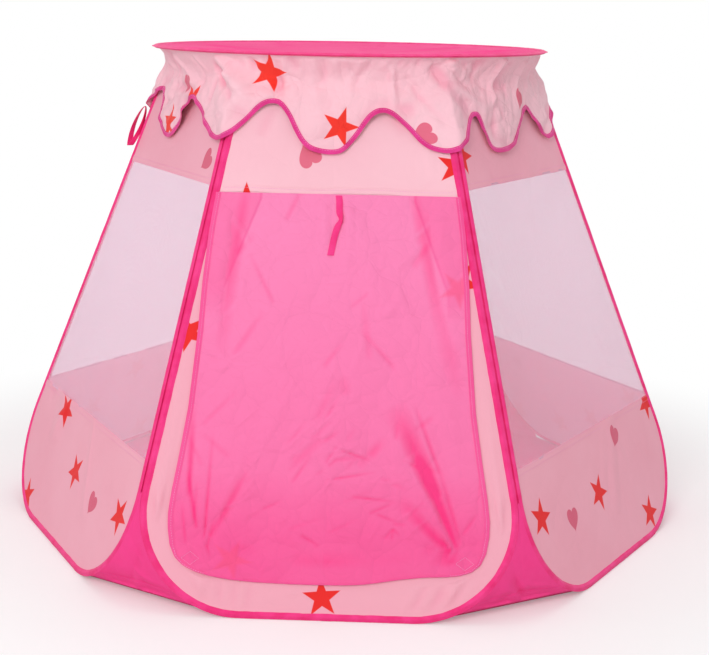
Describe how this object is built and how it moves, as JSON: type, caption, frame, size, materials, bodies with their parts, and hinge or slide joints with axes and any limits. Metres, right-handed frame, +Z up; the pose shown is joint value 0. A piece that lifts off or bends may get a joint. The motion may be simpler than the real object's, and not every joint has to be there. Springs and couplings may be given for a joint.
{
  "type": "pop-up play tent",
  "caption": "Hexagonal pop-up play tent: leaning panels on spring loops, net windows, a door flap, a round roof hoop with a scalloped crown, and a ground sheet.",
  "frame": {"origin": "on the ground at the middle of the ground sheet", "axes": "+Z up; the doorway faces -Y; +X to the right as seen from in front of the door"},
  "size_m": [1.2856, 1.2094, 0.9],
  "materials": {
    "spring_steel": "drawn spring wire and crimped steel tube",
    "hot_pink_binding": "folded polyester bias tape",
    "pink_print_cloth": "thin printed polyester taffeta",
    "hot_pink_cloth": "thin plain polyester taffeta",
    "pale_net": "fine polyester mosquito net",
    "hook_and_loop": "sewn hook-and-loop square"
  },
  "bodies": {
    "front_panel": {"front_frame_wire": "spring_steel", "front_wire_ferrule": "spring_steel", "front_binding_sleeve": "hot_pink_binding", "front_door_surround": "pink_print_cloth", "surround_loop_patch_left": "hook_and_loop", "surround_loop_patch_right": "hook_and_loop", "door_tie_inner": "hot_pink_binding", "floor": "hot_pink_cloth", "gusset_front_left": "hot_pink_cloth", "gusset_front_right": "hot_pink_cloth"},
    "front_left_panel": {"front_left_frame_wire": "spring_steel", "front_left_wire_ferrule": "spring_steel", "front_left_binding_sleeve": "hot_pink_binding", "front_left_sill_cloth": "pink_print_cloth", "front_left_window_net": "pale_net", "front_left_top_cloth": "pink_print_cloth", "gusset_left": "hot_pink_cloth", "side_ribbon_loop": "hot_pink_binding"},
    "front_right_panel": {"front_right_frame_wire": "spring_steel", "front_right_wire_ferrule": "spring_steel", "front_right_binding_sleeve": "hot_pink_binding", "front_right_sill_cloth": "pink_print_cloth", "front_right_window_net": "pale_net", "front_right_top_cloth": "pink_print_cloth", "gusset_right": "hot_pink_cloth"},
    "back_left_panel": {"back_left_frame_wire": "spring_steel", "back_left_wire_ferrule": "spring_steel", "back_left_binding_sleeve": "hot_pink_binding", "back_left_sill_cloth": "pink_print_cloth", "back_left_window_net": "pale_net", "back_left_top_cloth": "pink_print_cloth", "gusset_back_left": "hot_pink_cloth"},
    "back_right_panel": {"back_right_frame_wire": "spring_steel", "back_right_wire_ferrule": "spring_steel", "back_right_binding_sleeve": "hot_pink_binding", "back_right_sill_cloth": "pink_print_cloth", "back_right_window_net": "pale_net", "back_right_top_cloth": "pink_print_cloth", "gusset_back_right": "hot_pink_cloth"},
    "back_panel": {"back_frame_wire": "spring_steel", "back_wire_ferrule": "spring_steel", "back_binding_sleeve": "hot_pink_binding", "back_sill_cloth": "pink_print_cloth", "back_window_net": "pale_net", "back_top_cloth": "pink_print_cloth"},
    "roof_hoop": {"hoop_wire": "spring_steel", "hoop_ferrule": "spring_steel", "hoop_binding_sleeve": "hot_pink_binding", "roof_disc": "hot_pink_cloth", "crown_valance": "pink_print_cloth", "valance_tape": "hot_pink_binding"},
    "door_flap": {"door_flap_cloth": "hot_pink_cloth", "door_flap_tape": "hot_pink_binding", "flap_hook_patch_left": "hook_and_loop", "flap_hook_patch_right": "hook_and_loop", "door_tie_outer": "hot_pink_binding"}
  },
  "joints": [
    {"name": "fold_front_left_seam", "type": "hinge", "parent": "front_panel", "child": "front_left_panel", "pos_m": [-0.34641, -0.6, 0], "axis": [0.187, 0.324, 0.9274], "range_deg": [0, 53], "deforming": ["gusset_front_left", "floor"]},
    {"name": "fold_front_right_seam", "type": "hinge", "parent": "front_panel", "child": "front_right_panel", "pos_m": [0.34641, -0.6, 0], "axis": [0.187, -0.324, -0.9274], "range_deg": [0, 53], "deforming": ["gusset_front_right"]},
    {"name": "fold_left_seam", "type": "hinge", "parent": "front_left_panel", "child": "back_left_panel", "pos_m": [-0.69282, 0, 0], "axis": [-0.3741, 0, -0.9274], "range_deg": [0, 108.12], "deforming": ["gusset_left"]},
    {"name": "fold_right_seam", "type": "hinge", "parent": "front_right_panel", "child": "back_right_panel", "pos_m": [0.69282, 0, 0], "axis": [-0.3741, 0, 0.9274], "range_deg": [0, 108.12], "deforming": ["gusset_right", "gusset_back_right"]},
    {"name": "fold_back_left_seam", "type": "hinge", "parent": "back_left_panel", "child": "back_panel", "pos_m": [-0.34641, 0.6, 0], "axis": [0.187, -0.324, 0.9274], "range_deg": [0, 47.7], "deforming": ["gusset_back_left"]},
    {"name": "roof_hoop_tilt", "type": "hinge", "parent": "front_panel", "child": "roof_hoop", "pos_m": [0, -0.3635, 0.8937], "axis": [1, 0, 0], "range_deg": [0, 70.49], "deforming": ["crown_valance", "valance_tape"]},
    {"name": "door_flap_lift", "type": "hinge", "parent": "front_panel", "child": "door_flap", "pos_m": [0, -0.37176, 0.66705], "axis": [1, 0, 0], "range_deg": [-140, 0]}
  ],
  "couplings": [
    {"joint": "fold_front_right_seam", "follows": "fold_front_left_seam", "ratio": 1},
    {"joint": "fold_left_seam", "follows": "fold_front_left_seam", "ratio": 2.04},
    {"joint": "fold_right_seam", "follows": "fold_front_left_seam", "ratio": 2.04},
    {"joint": "fold_back_left_seam", "follows": "fold_front_left_seam", "ratio": 0.9},
    {"joint": "roof_hoop_tilt", "follows": "fold_front_left_seam", "ratio": 1.33}
  ]
}
